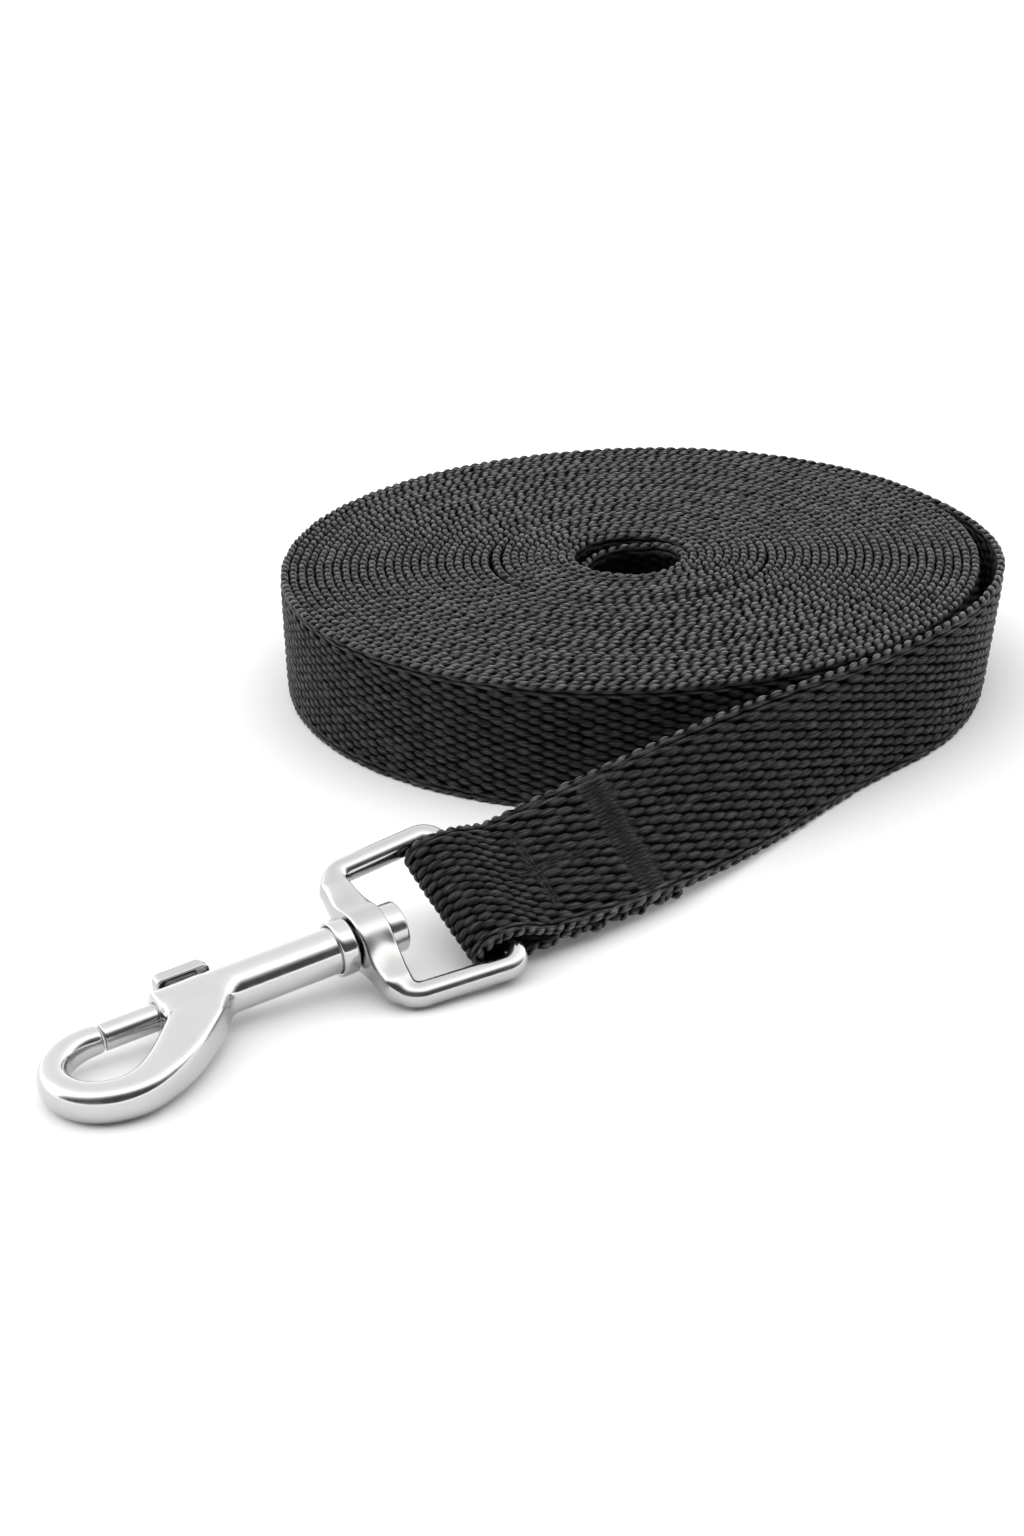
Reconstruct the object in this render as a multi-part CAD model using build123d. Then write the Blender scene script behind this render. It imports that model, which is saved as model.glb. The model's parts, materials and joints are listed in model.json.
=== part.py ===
from build123d import *
import math
import os

# Training leash: a long line of flat webbing, wound into a flat coil, with a swivel bolt snap
# sewn to its free end. Millimetres, degrees, +Z up. The origin is the middle of the footprint,
# on the surface that the leash lies on.

# ---------------------------------------------------------------- webbing
WEB_WIDTH = 25.0            # one-inch webbing
WEB_THICK = 1.7
TURN_PITCH = 1.75           # from one turn of the coil to the next
COIL_RADIUS = 71.3          # outside of the last full turn
COIL_CENTRE = (12.4, 49.45)  # from the middle of the footprint to the coil's axis
HOLE_RADIUS = 8.9           # the open eye of the coil
HANDLE_RADIUS = 17.8        # outside of the doubled handle loop, wound in the middle
HANDLE_STITCH_THICK = 0.5
HANDLE_STITCH_SPAN = 20.0   # degrees of the handle's outside that the thread covers
STITCH_MARGIN = 2.0         # plain webbing left beside a row of thread

# ---------------------------------------------------------------- snap, size
EYE_BAR = 4.2               # thickness of the eye's bars
EYE_FRONT_BAR = 5.4         # the front bar is wider, for the hub
EYE_LENGTH = 20.2           # front bar's middle to rear bar's middle
EYE_FRONT_HALF = 13.5       # swivel axis to the middle of a side bar, at the front
EYE_REAR_HALF = 15.0        # the same at the rear, where the webbing passes
EYE_CORNER = 4.6            # outside corner radius
HUB_RADIUS = 4.9
HUB_LENGTH = 5.4
STUD_RADIUS = 2.1
SWIVEL_CLEARANCE = 0.05     # radial, hub bore on stud
HEAD_RADIUS = 3.75
HEAD_THICK = 3.0
HEAD_GAP = 0.1              # between stud head and hub
COLLAR_RADIUS = 4.65
COLLAR_START = 3.0          # all "start" and "end" values: along the swivel axis from the hub's middle
COLLAR_END = 6.0
COLLAR_LIP = 0.5
BARREL_RADIUS = 3.85
BARREL_START = 3.55
BARREL_END = 36.2
SEAT_RADIUS = 3.0           # counterbore that holds the stud's flange
FLANGE_END = 5.6
FIT_GAP = 0.02              # between pieces that are pressed or crimped together
BORE_RADIUS = 2.25
BOLT_RADIUS = 2.2
BOLT_START = 24.0
BOLT_END = 45.5
BOLT_TRAVEL = 8.0
THUMB_START = 25.6
THUMB_LENGTH = 8.2
THUMB_WIDTH = 5.2
THUMB_INNER = 5.2           # swivel axis to the thumb piece's underside
THUMB_OUTER = 7.6
STEM_LENGTH = 6.4
STEM_WIDTH = 2.2
STEM_PEG_RADIUS = 1.0
SLOT_GAP = 0.35
SPRING_WIRE = 0.45
SPRING_RADIUS = 1.65
SPRING_TURNS = 9
NIPPLE_RADIUS = 1.1
NIPPLE_LENGTH = 2.0

# hook: a straight tip on the bolt's axis, a round bend, and an arm that widens into the barrel
TIP_START = 45.8
BEND_CENTRE = (47.7, 8.45)
BEND_RADIUS = 8.45
BEND_SWEEP = 202.0          # degrees from the tip to the arm
ARM_END = (28.0, 1.0)
ARM_END_HEADING = 225.0     # degrees, in the hook's plane
ARM_BOW = 0.07              # the arm's bow, as a share of its reach
BEND_SHARES = (0.06, 0.62)  # of the whole path: where the bend starts and ends
HOOK_WIDTHS = (4.2, 4.4, 4.7, 5.2, 5.6, 6.2, 7.2, 8.2)     # in the hook's plane, tip to root
HOOK_DEPTHS = (4.2, 5.0, 5.6, 6.0, 6.2, 6.3, 6.4, 6.6)     # across it

# ---------------------------------------------------------------- snap, place
HUB_PLACE = (-49.7, -128.0, 7.73)   # from the coil's axis, on the floor
SNAP_HEADING = 209.5        # where the hook points, seen from above
SNAP_DIP = 4.4              # how far the hook end points down
EYE_TILT = 24.5             # the eye's near side is down
HOOK_TILT = 2.2             # the hook lies nearly flat

# ---------------------------------------------------------------- webbing, place
LEAD_START_ANGLE = 28.0     # round the coil: where the last turn starts to stand off
LEAD_LEAVE_ANGLE = -48.0    # where it leaves the coil
LEAD_LEAVE_RADIUS = 71.9    # to the webbing's middle
STAND_OFF_RADIUS = 72.1
ARC_STATIONS = 9
RUN_STATIONS = 11
UPRIGHT_AT = 85.0           # from the rear bar: where the lead stands fully on its edge
TWIST_SHAPE = 1.3           # powers: how late the lead twists, how early it rises
RISE_SHAPE = 1.5
LAYERS_MEET = 9.0           # from the rear bar: where the folded layers lie together
JOIN_AT = 20.0              # where the lead's solid meets the folded end's solid
TAIL_AT = 36.0              # from the rear bar: the tail's cut end, under the lead
FOLD_FORWARD = 2.5          # the fold's middle, ahead of the rear bar
FOLD_RADIUS = 3.5           # to the webbing's middle
FOLD_STEPS = 8
UPPER_STEPS = 7
TAIL_STEPS = 12
FOLD_WIDTH = 24.0           # the webbing draws in a little where it is folded
LAYER_GAP = 0.06
BARTACK_AT = 29.0
BARTACK_LENGTH = 5.0
BOX_AT = 13.0
BOX_LENGTH = 7.0
THREAD_THICK = 0.35
THREAD_GAP = 0.08

PARTS = "parts"


def unit(v):
    return v / v.length


def snap_plane(tilt):
    """The snap's own frame: X from the hub towards the hook, Y across towards the belly, Z up."""
    heading = math.radians(SNAP_HEADING)
    dip = math.radians(SNAP_DIP)
    x = Vector(math.cos(dip) * math.cos(heading), math.cos(dip) * math.sin(heading), -math.sin(dip))
    level = unit(Vector(-math.sin(heading), math.cos(heading), 0))
    up = unit(x.cross(level))
    z = up * math.cos(math.radians(tilt)) + level * math.sin(math.radians(tilt))
    return Plane(origin=coil_to_row(Vector(*HUB_PLACE)), x_dir=x, z_dir=z)


def coil_to_row(point):
    return point + Vector(COIL_CENTRE[0], COIL_CENTRE[1], 0)


def place(shape, plane):
    return shape.moved(plane.location)


def along_x(radius, start, end):
    """A round bar on the swivel axis."""
    middle = Pos((start + end) / 2, 0, 0) * Rot(0, 90, 0)
    return middle * Cylinder(radius, end - start)


# ---------------------------------------------------------------- the coil
def spiral_face(first_radius, last_radius):
    """A disc whose edge grows by one step in a clockwise turn, as a wound strip's does."""
    steps = 24
    points = []
    for i in range(steps + 1):
        angle = math.radians(LEAD_START_ANGLE - 360 * i / steps)
        radius = first_radius + (last_radius - first_radius) * i / steps
        points.append((radius * math.cos(angle), radius * math.sin(angle)))
    return make_face([Spline(points), Line(points[-1], points[0])])


def at_coil(shape):
    return Pos(COIL_CENTRE[0], COIL_CENTRE[1], 0) * shape


def webbing_coil():
    outside = extrude(spiral_face(COIL_RADIUS - TURN_PITCH, COIL_RADIUS), WEB_WIDTH)
    inside = Pos(0, 0, WEB_WIDTH / 2) * Cylinder(HANDLE_RADIUS + 2 * HANDLE_STITCH_THICK, WEB_WIDTH)
    return at_coil(outside - inside)


def handle_loop():
    outside = Pos(0, 0, WEB_WIDTH / 2) * Cylinder(HANDLE_RADIUS, WEB_WIDTH)
    inside = extrude(spiral_face(HOLE_RADIUS + TURN_PITCH, HOLE_RADIUS), WEB_WIDTH)
    return at_coil(outside - inside)


def handle_bartack():
    """The thread on the outside of the wound handle, a thin curved patch."""
    height = WEB_WIDTH - 2 * STITCH_MARGIN
    outer = Cylinder(HANDLE_RADIUS + HANDLE_STITCH_THICK, height)
    inner = Cylinder(HANDLE_RADIUS + FIT_GAP, height)
    reach = 2 * HANDLE_RADIUS
    half = math.radians(HANDLE_STITCH_SPAN / 2)
    corner = (reach * math.cos(half), reach * math.sin(half))
    wedge = extrude(make_face(Polyline((0, 0), corner, (corner[0], -corner[1]), close=True)), height)
    wedge = Pos(0, 0, -height / 2) * wedge
    return at_coil(Pos(0, 0, WEB_WIDTH / 2) * ((outer - inner) & wedge))


# ---------------------------------------------------------------- the lead
def blend(a, b, t):
    return a + (b - a) * t


def upright(distance):
    return min(max(distance, 0) / UPRIGHT_AT, 1)


def run_ends():
    """Ends of the free run: middle of the rear bar, and the point where the coil lets go."""
    eye = snap_plane(EYE_TILT)
    start = eye.from_local_coords(Vector(-EYE_LENGTH, 0, 0))
    angle = math.radians(LEAD_LEAVE_ANGLE)
    radius = LEAD_LEAVE_RADIUS - WEB_THICK / 2
    leave = coil_to_row(Vector(radius * math.cos(angle), radius * math.sin(angle), WEB_WIDTH / 2))
    leave_heading = math.radians(LEAD_LEAVE_ANGLE + 90)
    start_heading = math.radians(SNAP_HEADING - 180)
    return start, start_heading, leave, leave_heading


def run_point(t):
    """Plan position and heading of the free run, a cubic from the rear bar (0) to the coil (1)."""
    start, h0, leave, h1 = run_ends()
    chord = math.hypot(leave.X - start.X, leave.Y - start.Y)
    d0 = (chord * math.cos(h0), chord * math.sin(h0))
    d1 = (chord * math.cos(h1), chord * math.sin(h1))
    spot = []
    slope = []
    for a, b, da, db in ((start.X, leave.X, d0[0], d1[0]), (start.Y, leave.Y, d0[1], d1[1])):
        spot.append((2*t**3 - 3*t**2 + 1) * a + (t**3 - 2*t**2 + t) * da
                    + (3*t**2 - 2*t**3) * b + (t**3 - t**2) * db)
        slope.append((6*t**2 - 6*t) * a + (3*t**2 - 4*t + 1) * da
                     + (6*t - 6*t**2) * b + (3*t**2 - 2*t) * db)
    return spot, math.atan2(slope[1], slope[0])


def run_length():
    start, _, leave, _ = run_ends()
    return math.hypot(leave.X - start.X, leave.Y - start.Y)


def spine(distance):
    """Frame of the free run at a distance from the rear bar: middle, across, outward."""
    t = distance / run_length()
    (x, y), heading = run_point(t)
    start = run_ends()[0]
    rise = 1 - (1 - upright(distance)) ** RISE_SHAPE
    z = blend(start.Z, WEB_WIDTH / 2, rise)
    tilt = math.radians(blend(EYE_TILT, 90, upright(distance) ** TWIST_SHAPE))
    side = Vector(-math.sin(heading), math.cos(heading), 0)
    across = side * math.cos(tilt) + Vector(0, 0, math.sin(tilt))
    outward = Vector(0, 0, math.cos(tilt)) - side * math.sin(tilt)
    return Vector(x, y, z), across, outward


def layer_offset(distance):
    """From the spine to the middle of a layer: apart at the bar, together further on."""
    closed = (WEB_THICK + LAYER_GAP) / 2
    t = min(max(distance, 0) / LAYERS_MEET, 1)
    return blend(FOLD_RADIUS, closed, t * t * (3 - 2 * t))


def strip_section(middle, across, outward, thick=WEB_THICK, width=WEB_WIDTH):
    a = across * (width / 2)
    n = outward * (thick / 2)
    outline = Polyline(middle - a - n, middle + a - n, middle + a + n, middle - a + n, close=True)
    return make_face(outline)


def strip(sections):
    return loft(sections, ruled=True)


def on_run(distance, offset, thick=WEB_THICK, width=WEB_WIDTH):
    middle, across, outward = spine(distance)
    return strip_section(middle + outward * offset, across, outward, thick, width)


def end_width(distance):
    """Width of the webbing near the fold."""
    return blend(FOLD_WIDTH, WEB_WIDTH, min(max(distance, 0) / JOIN_AT, 1))


def webbing_lead():
    """The last turn's free part, then the run that turns from its edge down towards its face."""
    sections = []
    start_radius = COIL_RADIUS - WEB_THICK / 2
    for i in range(ARC_STATIONS):
        t = i / ARC_STATIONS
        angle = math.radians(blend(LEAD_START_ANGLE, LEAD_LEAVE_ANGLE, t))
        bulge = math.sin(math.pi * t) * (STAND_OFF_RADIUS - LEAD_LEAVE_RADIUS)
        radius = blend(start_radius, LEAD_LEAVE_RADIUS, min(3 * t, 1)) + bulge
        out = Vector(math.cos(angle), math.sin(angle), 0)
        middle = coil_to_row(out * radius + Vector(0, 0, WEB_WIDTH / 2))
        sections.append(strip_section(middle, Vector(0, 0, 1), out))
    far = run_length()
    for i in range(RUN_STATIONS + 1):
        distance = blend(far, JOIN_AT, i / RUN_STATIONS)
        sections.append(on_run(distance, layer_offset(distance)))
    return strip(sections)


def webbing_eye_loop():
    """The end of the webbing: round the rear bar and back under the lead."""
    sections = []
    fold_at = -FOLD_FORWARD
    for i in range(UPPER_STEPS):
        distance = blend(JOIN_AT, fold_at, i / UPPER_STEPS)
        sections.append(on_run(distance, layer_offset(distance), width=end_width(distance)))
    eye = snap_plane(EYE_TILT)
    centre = eye.from_local_coords(Vector(FOLD_FORWARD - EYE_LENGTH, 0, 0))
    for i in range(FOLD_STEPS + 1):
        angle = math.pi * i / FOLD_STEPS
        out = eye.z_dir * math.cos(angle) + eye.x_dir * math.sin(angle)
        sections.append(strip_section(centre + out * FOLD_RADIUS, -eye.y_dir, out, width=FOLD_WIDTH))
    for i in range(1, TAIL_STEPS + 1):
        distance = blend(fold_at, TAIL_AT, i / TAIL_STEPS)
        middle, across, outward = spine(distance)
        middle -= outward * layer_offset(distance)
        sections.append(strip_section(middle, across, -outward, width=end_width(distance)))
    return strip(sections)


def thread_patches(centre_at, length):
    """Sewing thread on the lead's upper face and under the tail, over a length of the run."""
    stations = 4
    width = FOLD_WIDTH - 2 * STITCH_MARGIN
    patches = []
    for side in (1, -1):
        sections = []
        for i in range(stations):
            distance = centre_at + length * (i / (stations - 1) - 0.5)
            shell = layer_offset(distance) + (WEB_THICK + THREAD_THICK) / 2 + THREAD_GAP
            sections.append(on_run(distance, side * shell, THREAD_THICK, width))
        patches.append(strip(sections))
    return Compound(children=patches)


# ---------------------------------------------------------------- the eye
def swivel_eye():
    """A four-sided loop, wider at the rear, with a bored hub in the middle of its front bar."""
    bar = EYE_BAR / 2
    front = EYE_FRONT_BAR / 2
    outer = Polyline((front, EYE_FRONT_HALF + bar), (-EYE_LENGTH - bar, EYE_REAR_HALF + bar),
                     (-EYE_LENGTH - bar, -EYE_REAR_HALF - bar), (front, -EYE_FRONT_HALF - bar), close=True)
    inner = Polyline((-front, EYE_FRONT_HALF - bar), (-EYE_LENGTH + bar, EYE_REAR_HALF - bar),
                     (-EYE_LENGTH + bar, -EYE_REAR_HALF + bar), (-front, -EYE_FRONT_HALF + bar), close=True)
    outer_face = make_face(outer)
    inner_face = make_face(inner)
    outer_face = fillet(outer_face.vertices(), EYE_CORNER)
    inner_face = fillet(inner_face.vertices(), EYE_CORNER - EYE_BAR + 1.0)
    loop = extrude(outer_face - inner_face, bar, both=True)
    loop = fillet(loop.faces().filter_by(Axis.Z).edges(), bar - 0.15)
    hub = along_x(HUB_RADIUS, -HUB_LENGTH / 2, HUB_LENGTH / 2)
    hub = fillet(hub.edges(), 0.9)
    eye = loop + hub - along_x(STUD_RADIUS + SWIVEL_CLEARANCE, -HUB_LENGTH, HUB_LENGTH)
    return place(eye, snap_plane(EYE_TILT))


def swivel_stud():
    """Head in the eye's window, shank through the hub, flange and spring nipple in the barrel."""
    head_end = -HUB_LENGTH / 2 - HEAD_GAP
    head = fillet(along_x(HEAD_RADIUS, head_end - HEAD_THICK, head_end).edges(), 0.7)
    shank = along_x(STUD_RADIUS, head_end - HEAD_THICK / 2, FLANGE_END)
    flange = along_x(SEAT_RADIUS - FIT_GAP, BARREL_START, FLANGE_END)
    nipple = along_x(NIPPLE_RADIUS, FLANGE_END - 0.5, FLANGE_END + NIPPLE_LENGTH)
    return place(head + shank + flange + nipple, snap_plane(HOOK_TILT))


def barrel_collar():
    """The rim crimped over the barrel's end, which keeps the stud's flange in."""
    ring = fillet(along_x(COLLAR_RADIUS, COLLAR_START, COLLAR_END).edges(), 0.8)
    barrel_hole = along_x(BARREL_RADIUS + FIT_GAP, COLLAR_START + COLLAR_LIP, COLLAR_END + 1)
    stud_hole = along_x(STUD_RADIUS + SWIVEL_CLEARANCE, COLLAR_START - 1, COLLAR_END)
    return place(ring - barrel_hole - stud_hole, snap_plane(HOOK_TILT))


# ---------------------------------------------------------------- the snap's body
def hook_path(share):
    """Point and heading (degrees) on the hook's middle line in its plane: tip at 0, root at 1."""
    bend_start, bend_end = BEND_SHARES
    cx, cy = BEND_CENTRE
    if share < bend_start:
        return (blend(TIP_START, cx, share / bend_start), 0.0), 0.0
    if share <= bend_end:
        turn = BEND_SWEEP * (share - bend_start) / (bend_end - bend_start)
        angle = math.radians(turn - 90)
        return (cx + BEND_RADIUS * math.cos(angle), cy + BEND_RADIUS * math.sin(angle)), turn
    t = (share - bend_end) / (1 - bend_end)
    angle = math.radians(BEND_SWEEP - 90)
    start = (cx + BEND_RADIUS * math.cos(angle), cy + BEND_RADIUS * math.sin(angle))
    heading = blend(BEND_SWEEP, ARM_END_HEADING, t)
    reach = math.dist(start, ARM_END)
    bow = ARM_BOW * reach * math.sin(math.pi * t)
    chord = math.atan2(ARM_END[1] - start[1], ARM_END[0] - start[0])
    x = blend(start[0], ARM_END[0], t) + bow * math.sin(chord)
    y = blend(start[1], ARM_END[1], t) - bow * math.cos(chord)
    return (x, y), heading


def hook_section(share):
    (x, y), heading = hook_path(share)
    place_in_list = share * (len(HOOK_WIDTHS) - 1)
    low = min(int(place_in_list), len(HOOK_WIDTHS) - 2)
    t = place_in_list - low
    width = blend(HOOK_WIDTHS[low], HOOK_WIDTHS[low + 1], t)
    depth = blend(HOOK_DEPTHS[low], HOOK_DEPTHS[low + 1], t)
    direction = Vector(math.cos(math.radians(heading)), math.sin(math.radians(heading)), 0)
    outward = Vector(direction.Y, -direction.X, 0)
    plane = Plane(origin=(x, y, 0), x_dir=outward, z_dir=direction)
    return plane * Ellipse(width / 2, depth / 2)


def hook():
    bend_start, bend_end = BEND_SHARES
    shares = [0, bend_start, 0.18, 0.28, 0.37, 0.45, 0.54, bend_end, 0.72, 0.82, 0.91, 1.0]
    return loft([hook_section(s) for s in shares])


def snap_body():
    barrel = along_x(BARREL_RADIUS, BARREL_START, BARREL_END)
    nose_edge = barrel.edges().sort_by(Axis.X)[-1]
    barrel = fillet(nose_edge, 1.0)
    body = barrel + hook()
    body -= along_x(BORE_RADIUS, BARREL_START - 1, TIP_START - 0.2)
    body -= along_x(SEAT_RADIUS, BARREL_START - 1, FLANGE_END + FIT_GAP)
    stem_start = THUMB_START + (THUMB_LENGTH - STEM_LENGTH) / 2
    slot_start = stem_start - BOLT_TRAVEL - SLOT_GAP
    slot_end = stem_start + STEM_LENGTH + SLOT_GAP
    slot = Box(slot_end - slot_start, BARREL_RADIUS + 1, STEM_WIDTH + 2 * SLOT_GAP)
    body -= Pos((slot_start + slot_end) / 2, -(BARREL_RADIUS + 1) / 2, 0) * slot
    return place(body, snap_plane(HOOK_TILT))


def bolt():
    bar = fillet(along_x(BOLT_RADIUS, BOLT_START, BOLT_END).edges(), 0.3)
    peg_hole = Pos(THUMB_START + THUMB_LENGTH / 2, -BOLT_RADIUS / 2, 0) * Rot(90, 0, 0)
    bar -= peg_hole * Cylinder(STEM_PEG_RADIUS + FIT_GAP, BOLT_RADIUS + 1)
    return place(bar, snap_plane(HOOK_TILT))


def thumb_stud():
    """The piece the thumb pulls: a flat rounded bar on a stem that is pegged into the bolt."""
    middle = THUMB_START + THUMB_LENGTH / 2
    height = THUMB_OUTER - THUMB_INNER
    cap = Pos(middle, -(THUMB_INNER + THUMB_OUTER) / 2, 0) * Box(THUMB_LENGTH, height, THUMB_WIDTH)
    cap = fillet(cap.edges(), 0.7)
    stem_height = THUMB_INNER - BOLT_RADIUS + 0.5
    stem_middle = -(BOLT_RADIUS + FIT_GAP + stem_height / 2)
    stem = Pos(middle, stem_middle, 0) * Box(STEM_LENGTH, stem_height, STEM_WIDTH)
    peg_length = BOLT_RADIUS + 2 * FIT_GAP
    peg = Pos(middle, -peg_length / 2, 0) * Rot(90, 0, 0) * Cylinder(STEM_PEG_RADIUS, peg_length)
    return place(cap + stem + peg, snap_plane(HOOK_TILT))


def bolt_spring():
    """The compression spring between the stud's flange and the bolt."""
    start = FLANGE_END + SPRING_WIRE / 2 + FIT_GAP
    length = BOLT_START - SPRING_WIRE / 2 - FIT_GAP - start
    path = Helix(length / SPRING_TURNS, length, SPRING_RADIUS)
    section = Plane(origin=path @ 0, z_dir=path % 0) * Circle(SPRING_WIRE / 2)
    spring = sweep(section, path=path, is_frenet=True)
    spring = Pos(start, 0, 0) * Rot(0, 90, 0) * spring
    return place(spring, snap_plane(HOOK_TILT))


def build():
    return {
        "webbing_coil": webbing_coil(),
        "handle_loop": handle_loop(),
        "handle_bartack": handle_bartack(),
        "webbing_lead": webbing_lead(),
        "webbing_eye_loop": webbing_eye_loop(),
        "snap_bartack": thread_patches(BARTACK_AT, BARTACK_LENGTH),
        "snap_box_stitch": thread_patches(BOX_AT, BOX_LENGTH),
        "swivel_eye": swivel_eye(),
        "swivel_stud": swivel_stud(),
        "barrel_collar": barrel_collar(),
        "snap_body": snap_body(),
        "bolt": bolt(),
        "thumb_stud": thumb_stud(),
        "bolt_spring": bolt_spring(),
    }


def main():
    os.makedirs(PARTS, exist_ok=True)
    shapes = build()
    for name, shape in shapes.items():
        export_step(shape, f"{PARTS}/{name}.step")
    box = Compound(children=list(shapes.values())).bounding_box()
    print("footprint", box.min, box.max)
    eye = snap_plane(EYE_TILT)
    snap = snap_plane(HOOK_TILT)
    print("rear bar middle", eye.from_local_coords(Vector(-EYE_LENGTH, 0, 0)), "axis", eye.y_dir)
    print("hub middle", eye.origin, "swivel axis", snap.x_dir, "across", snap.y_dir, "up", snap.z_dir)
    print("free run", run_length())


main()
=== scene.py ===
import json
import math

import bpy
import numpy as np
from mathutils import Matrix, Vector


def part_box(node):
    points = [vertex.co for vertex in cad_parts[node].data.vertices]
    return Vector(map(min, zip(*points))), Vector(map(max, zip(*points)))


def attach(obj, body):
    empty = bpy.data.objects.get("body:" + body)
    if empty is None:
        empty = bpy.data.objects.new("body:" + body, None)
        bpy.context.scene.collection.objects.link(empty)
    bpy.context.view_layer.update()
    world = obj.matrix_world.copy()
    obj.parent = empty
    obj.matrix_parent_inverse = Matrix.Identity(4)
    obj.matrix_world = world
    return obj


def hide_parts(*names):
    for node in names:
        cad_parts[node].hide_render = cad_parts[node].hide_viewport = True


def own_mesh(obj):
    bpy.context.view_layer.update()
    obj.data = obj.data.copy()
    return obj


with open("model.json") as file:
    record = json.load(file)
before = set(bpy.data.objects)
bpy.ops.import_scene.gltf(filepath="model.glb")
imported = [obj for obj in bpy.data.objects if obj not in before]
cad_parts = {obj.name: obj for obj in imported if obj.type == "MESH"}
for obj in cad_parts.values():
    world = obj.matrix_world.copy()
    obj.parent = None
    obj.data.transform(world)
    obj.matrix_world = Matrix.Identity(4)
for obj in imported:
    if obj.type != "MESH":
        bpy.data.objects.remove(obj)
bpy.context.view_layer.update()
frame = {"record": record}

# Training leash: flat webbing wound into a coil, and the swivel bolt snap sewn to its end.
# Lengths below are millimetres in the frame of the CAD model; meshes are written in metres.
MM = 0.001

# -------- webbing
WEB_WIDTH = 25.0
WEB_THICK = 1.7
TURN_PITCH = 1.75
COIL_RADIUS = 71.3          # outside of the last full turn
HOLE_RADIUS = 8.9           # the open eye of the coil
HANDLE_RADIUS = 17.8        # outside of the doubled handle loop
LUMP_HEIGHT = 0.50          # how far the woven lumps stand out of the core
LUMP_PITCH = 6.0            # from one lump to the next in its row, on the free run
COIL_TIGHTENS = 0.25        # the wound webbing is drawn shorter, so its lumps are closer
FOLD_TIGHTENS = 0.50        # and so is the sewn end
EDGE_SWAY = 0.11            # how far the free edges wander sideways
LUMP_ROWS = 56              # rows of lumps round the whole section, both faces and both edges
LUMP_SLANT = math.radians(-6)
LUMP_LONG = 2.3             # half the length of a lump
LUMP_WIDE = 0.76            # and half its width
POINTED = 2.2               # how lumps narrow to their ends: 1 is a straight taper, 4 a blunt one
EDGE_ROWS = 3               # rows next to each edge that are strands, which run longer, thinner and lower
STRAND_LONG = 3.8
STRAND_WIDE = 0.42
STRAND_HEIGHT = 0.62
RIB_SLANT = math.radians(26)    # the yarn that wraps over each edge
RIB_LONG = 2.1
RIB_WIDE = 0.60
CORE_HALF_THICK = WEB_THICK / 2 - LUMP_HEIGHT * 0.7
CORE_HALF_WIDTH = WEB_WIDTH / 2 - LUMP_HEIGHT * 0.7
FLAT_HALF = CORE_HALF_WIDTH - CORE_HALF_THICK
EDGE_ARC = math.pi * CORE_HALF_THICK       # round one edge of the section
PERIMETER = 4 * FLAT_HALF + 2 * EDGE_ARC
LUMP_SPACING = PERIMETER / LUMP_ROWS
LOWER_EDGE = FLAT_HALF + EDGE_ARC / 2      # distance round the section to the middle of each edge
UPPER_EDGE = PERIMETER - LOWER_EDGE
EDGE_ZONE = EDGE_ARC + 2.4                 # sampled as edge, round the section

# -------- the free end of the webbing
LEAD_START_ANGLE = 28.0     # degrees round the coil: where the last turn starts to stand off
LEAD_LEAVE_ANGLE = -48.0    # and where it leaves the coil for good
LEAD_LEAVE_RADIUS = 71.9
STAND_OFF_RADIUS = 72.1
UPRIGHT_AT = 85.0           # this far behind the rear bar the webbing stands upright
TWIST_SHAPE = 1.3
TWIST_EASE = 0.75           # the twist fades out smoothly after this share of it
RISE_SHAPE = 1.5
LAYERS_MEET = 9.0           # this far behind it the two layers of the fold lie together
JOIN_AT = 20.0              # this far behind it the fold's piece ends
TAIL_AT = 36.0              # and this far behind it the lower layer is cut off
END_NARROWED = 0.965        # share of its width that the webbing keeps round the rear bar
FOLD_FORWARD = 2.5          # the fold's middle is this far in front of the rear bar
FOLD_RADIUS = 3.5
LAYER_GAP = 0.06
EYE_TILT = 24.5             # degrees
LEAN_AT = -8.0              # degrees round the coil: where the last turn leans out most
LEAN_SPREAD = 40.0
LEAN = math.radians(8)
LINE_STEP = 0.5             # between the points of the line

# -------- the wound webbing
INNER_GROUP_RADIUS = 28.3   # inside this the turns sit together, a little apart from the rest
INNER_GROUP_GAP = 0.95
GAP_FACES_AWAY = math.radians(60)   # the gap closes on this side of the coil
COIL_TOP = 0.3              # the turns' edges rise and fall, and rise no more than this
COIL_SINKS = 0.15           # then all of them are lowered by this
MIDDLE_SINKS = 0.5          # the innermost turns sit lower
LAST_END_SINKS = 2.4        # and the inner end lowest, drawn in from the others
LAST_END_DRAWN_IN = 1.0

# -------- sewing, its places measured back from the rear bar
BARTACK_AT = 29.0
BARTACK_LENGTH = 5.0
BARTACK_HALF = 10.6
CROSS_AT = 11.0
CROSS_HALF = 7.5
CROSS_FRONT = 8.0
CROSS_BACK = 21.0
CROSS_TWIN = 0.45           # the two lines across lie this far each side of their middle
STITCH_LENGTH = 2.3
THREAD_RADIUS = 0.17
THREAD_SIDES = 6
PRESS_EASE = 0.9            # how softly the weave rises round the sewing
PRESSED_HEIGHT = 0.45       # share of a lump's height where thread presses it flat
# painted light level given to the weave where thread presses it flat
PRESSED_SHADE = 0.72
BAND_PRESS = (0.85, 0.10)   # how flat, and how far down
LINE_PRESS = (0.80, 0.16)
CUT_PRESS = (0.90, 0.28)

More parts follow.
